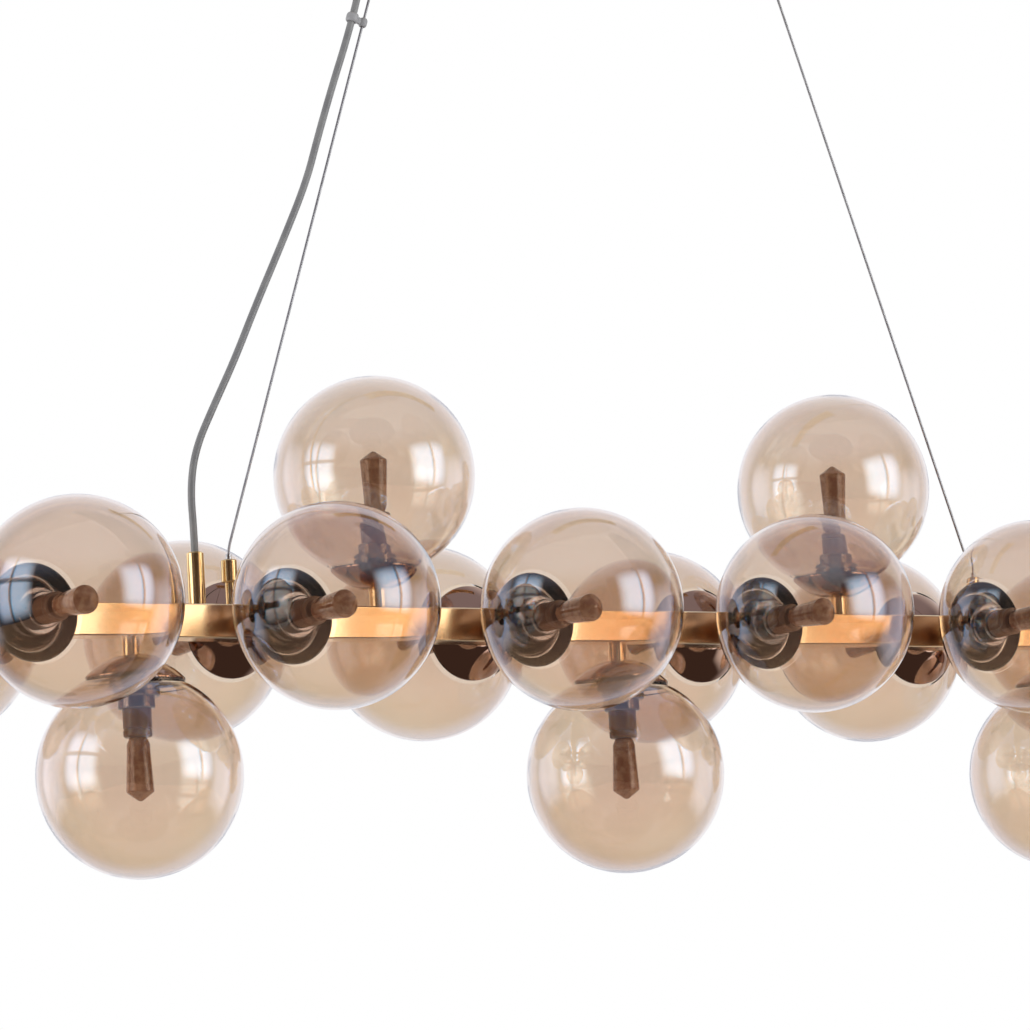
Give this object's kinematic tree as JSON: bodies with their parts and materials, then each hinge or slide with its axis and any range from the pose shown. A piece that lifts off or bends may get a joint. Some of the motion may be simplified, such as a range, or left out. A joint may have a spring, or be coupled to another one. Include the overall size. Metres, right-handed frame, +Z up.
{
  "type": "linear globe chandelier",
  "caption": "Straight chandelier: a square metal bar on steel cables carries tinted glass globes in front, behind, above and below, fed by a cord from a long ceiling canopy.",
  "frame": {"origin": "on the ceiling plane, at the middle of the ceiling bracket, above the middle of the bar", "axes": "+X along the bar, -Y to the front of the pictured side, +Z up into the ceiling"},
  "size_m": [1.2, 0.3724, 0.7342],
  "materials": {
    "amber_glass": "champagne tinted, glossy",
    "rose_gold": "mirror polished",
    "yellow_gold": "polished",
    "gunmetal": "mirror polished, black nickel",
    "dark_ceramic": "matt",
    "smoked_bulb": "smoked, satin",
    "cable_steel": "stranded",
    "cord_grey": "satin sheath",
    "clip_grey": "smooth",
    "zinc_steel": "zinc plated",
    "wire_insulation": "smooth",
    "terminal_plastic": "moulded"
  },
  "bodies": {
    "canopy": {"canopy_cover": "rose_gold", "ceiling_bracket": "zinc_steel", "cover_screws": "rose_gold", "cable_ferrules": "rose_gold", "canopy_nuts": "zinc_steel", "cord_bushing": "rose_gold", "supply_lead": "cord_grey", "terminal_block": "terminal_plastic", "terminal_screws": "zinc_steel", "earth_screw": "zinc_steel"},
    "fixture": {"main_bar": "rose_gold", "bar_end_plugs": "rose_gold", "stems": "rose_gold", "hollow_rods": "zinc_steel", "rod_nuts": "zinc_steel", "globe_carriers": "gunmetal", "lampholders": "dark_ceramic", "front_caps": "gunmetal", "back_caps": "gunmetal", "top_caps": "gunmetal", "bottom_caps": "gunmetal", "front_bulbs": "smoked_bulb", "back_bulbs": "smoked_bulb", "top_bulbs": "smoked_bulb", "bottom_bulbs": "smoked_bulb", "wiring_harness": "wire_insulation", "cord_gland_base": "yellow_gold", "cord_gland_cap": "yellow_gold", "left_gripper_body": "yellow_gold", "right_gripper_body": "yellow_gold", "gripper_nuts": "zinc_steel", "left_gripper_spring": "zinc_steel", "right_gripper_spring": "zinc_steel", "left_cable": "cable_steel", "right_cable": "cable_steel", "cable_ball_ends": "zinc_steel", "power_cord": "cord_grey", "cord_clip": "clip_grey"},
    "left_plunger": {"left_plunger": "zinc_steel", "left_gripper_balls": "zinc_steel"},
    "right_plunger": {"right_plunger": "zinc_steel", "right_gripper_balls": "zinc_steel"},
    "front_globe_1": {"front_globe_1": "amber_glass"},
    "front_globe_2": {"front_globe_2": "amber_glass"},
    "front_globe_3": {"front_globe_3": "amber_glass"},
    "front_globe_4": {"front_globe_4": "amber_glass"},
    "front_globe_5": {"front_globe_5": "amber_glass"},
    "front_globe_6": {"front_globe_6": "amber_glass"},
    "back_globe_1": {"back_globe_1": "amber_glass"},
    "back_globe_2": {"back_globe_2": "amber_glass"},
    "back_globe_3": {"back_globe_3": "amber_glass"},
    "back_globe_4": {"back_globe_4": "amber_glass"},
    "back_globe_5": {"back_globe_5": "amber_glass"},
    "back_globe_6": {"back_globe_6": "amber_glass"},
    "top_globe_1": {"top_globe_1": "amber_glass"},
    "top_globe_2": {"top_globe_2": "amber_glass"},
    "bottom_globe_1": {"bottom_globe_1": "amber_glass"},
    "bottom_globe_2": {"bottom_globe_2": "amber_glass"},
    "bottom_globe_3": {"bottom_globe_3": "amber_glass"}
  },
  "joints": [
    {"name": "sway", "type": "hinge", "parent": "canopy", "child": "fixture", "pos_m": [0, 0, -0.031], "axis": [1, 0, 0], "range_deg": [-12, 12]},
    {"name": "left_plunger_press", "type": "slide", "parent": "fixture", "child": "left_plunger", "axis": [0, 0, -1], "range_m": [0, 0.0025], "stiffness_N_per_m": 400, "springref_m": -0.002, "deforming": ["left_gripper_spring"]},
    {"name": "right_plunger_press", "type": "slide", "parent": "fixture", "child": "right_plunger", "axis": [0, 0, -1], "range_m": [0, 0.0025], "stiffness_N_per_m": 400, "springref_m": -0.002, "deforming": ["right_gripper_spring"]},
    {"name": "front_globe_1_unscrew", "type": "hinge", "parent": "fixture", "child": "front_globe_1", "pos_m": [-0.525, 0, -0.548], "axis": [0, -1, 0], "range_deg": [0, 360]},
    {"name": "front_globe_2_unscrew", "type": "hinge", "parent": "fixture", "child": "front_globe_2", "pos_m": [-0.315, 0, -0.548], "axis": [0, -1, 0], "range_deg": [0, 360]},
    {"name": "front_globe_3_unscrew", "type": "hinge", "parent": "fixture", "child": "front_globe_3", "pos_m": [-0.105, 0, -0.548], "axis": [0, -1, 0], "range_deg": [0, 360]},
    {"name": "front_globe_4_unscrew", "type": "hinge", "parent": "fixture", "child": "front_globe_4", "pos_m": [0.105, 0, -0.548], "axis": [0, -1, 0], "range_deg": [0, 360]},
    {"name": "front_globe_5_unscrew", "type": "hinge", "parent": "fixture", "child": "front_globe_5", "pos_m": [0.315, 0, -0.548], "axis": [0, -1, 0], "range_deg": [0, 360]},
    {"name": "front_globe_6_unscrew", "type": "hinge", "parent": "fixture", "child": "front_globe_6", "pos_m": [0.525, 0, -0.548], "axis": [0, -1, 0], "range_deg": [0, 360]},
    {"name": "back_globe_1_unscrew", "type": "hinge", "parent": "fixture", "child": "back_globe_1", "pos_m": [-0.525, 0, -0.548], "axis": [0, 1, 0], "range_deg": [0, 360]},
    {"name": "back_globe_2_unscrew", "type": "hinge", "parent": "fixture", "child": "back_globe_2", "pos_m": [-0.315, 0, -0.548], "axis": [0, 1, 0], "range_deg": [0, 360]},
    {"name": "back_globe_3_unscrew", "type": "hinge", "parent": "fixture", "child": "back_globe_3", "pos_m": [-0.105, 0, -0.548], "axis": [0, 1, 0], "range_deg": [0, 360]},
    {"name": "back_globe_4_unscrew", "type": "hinge", "parent": "fixture", "child": "back_globe_4", "pos_m": [0.105, 0, -0.548], "axis": [0, 1, 0], "range_deg": [0, 360]},
    {"name": "back_globe_5_unscrew", "type": "hinge", "parent": "fixture", "child": "back_globe_5", "pos_m": [0.315, 0, -0.548], "axis": [0, 1, 0], "range_deg": [0, 360]},
    {"name": "back_globe_6_unscrew", "type": "hinge", "parent": "fixture", "child": "back_globe_6", "pos_m": [0.525, 0, -0.548], "axis": [0, 1, 0], "range_deg": [0, 360]},
    {"name": "top_globe_1_unscrew", "type": "hinge", "parent": "fixture", "child": "top_globe_1", "pos_m": [-0.21, 0, -0.548], "axis": [0, 0, 1], "range_deg": [0, 360]},
    {"name": "top_globe_2_unscrew", "type": "hinge", "parent": "fixture", "child": "top_globe_2", "pos_m": [0.21, 0, -0.548], "axis": [0, 0, 1], "range_deg": [0, 360]},
    {"name": "bottom_globe_1_unscrew", "type": "hinge", "parent": "fixture", "child": "bottom_globe_1", "pos_m": [-0.42, 0, -0.548], "axis": [0, 0, -1], "range_deg": [0, 360]},
    {"name": "bottom_globe_2_unscrew", "type": "hinge", "parent": "fixture", "child": "bottom_globe_2", "pos_m": [0, 0, -0.548], "axis": [0, 0, -1], "range_deg": [0, 360]},
    {"name": "bottom_globe_3_unscrew", "type": "hinge", "parent": "fixture", "child": "bottom_globe_3", "pos_m": [0.42, 0, -0.548], "axis": [0, 0, -1], "range_deg": [0, 360]}
  ]
}
